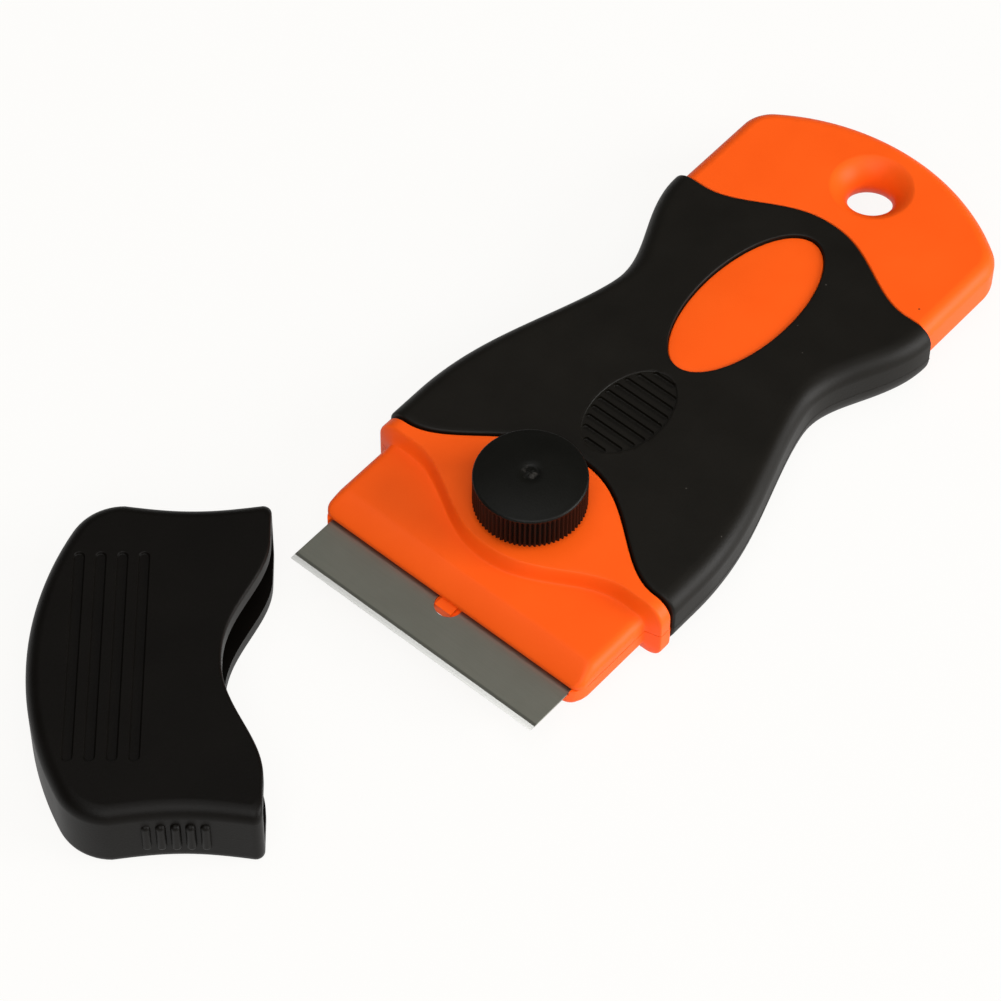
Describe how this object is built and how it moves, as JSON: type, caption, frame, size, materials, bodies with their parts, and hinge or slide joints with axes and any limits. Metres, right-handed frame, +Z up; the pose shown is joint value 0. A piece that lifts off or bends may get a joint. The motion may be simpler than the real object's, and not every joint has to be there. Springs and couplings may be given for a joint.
{
  "type": "razor blade scraper",
  "caption": "Hand scraper with a waisted rubber-gripped handle, a knob-clamped jaw holding a flat razor blade, a hanging hole in the butt, and a slip-on blade cap.",
  "frame": {"origin": "on the centre line of the grip's underside, under the thumb patch, at table height", "axes": "+X back along the handle to the hanging hole, +Y to the side where the cap lies, +Z up"},
  "size_m": [0.1449, 0.0627, 0.0166],
  "materials": {
    "orange_plastic": "satin moulded plastic",
    "grip_rubber": "matte soft-touch rubber",
    "blade_steel": "fine-brushed blade steel with a ground bevel",
    "zinc_steel": "zinc-plated steel",
    "knob_black": "satin moulded plastic",
    "cap_black": "satin moulded plastic"
  },
  "bodies": {
    "handle": {"handle_core": "orange_plastic", "grip_overmold": "grip_rubber", "blade": "blade_steel", "captive_nut": "zinc_steel"},
    "clamp": {"clamp_plate": "orange_plastic"},
    "knob": {"knob": "knob_black", "knob_stud": "zinc_steel"},
    "cap": {"blade_cap": "cap_black"}
  },
  "joints": [
    {"name": "clamp_lift", "type": "slide", "parent": "handle", "child": "clamp", "axis": [0, 0, 1], "range_m": [0, 0.002]},
    {"name": "knob_turn", "type": "hinge", "parent": "clamp", "child": "knob", "pos_m": [-0.0194, 0, 0.0102], "axis": [0, 0, 1], "range_deg": [0, 900]},
    {"name": "cap_pull", "type": "slide", "parent": "handle", "child": "cap", "axis": [-0.658, 0.753, 0], "range_m": [0, 0.03]}
  ],
  "couplings": [
    {"joint": "knob_turn", "follows": "clamp_lift", "rad_per_m": 7854}
  ]
}
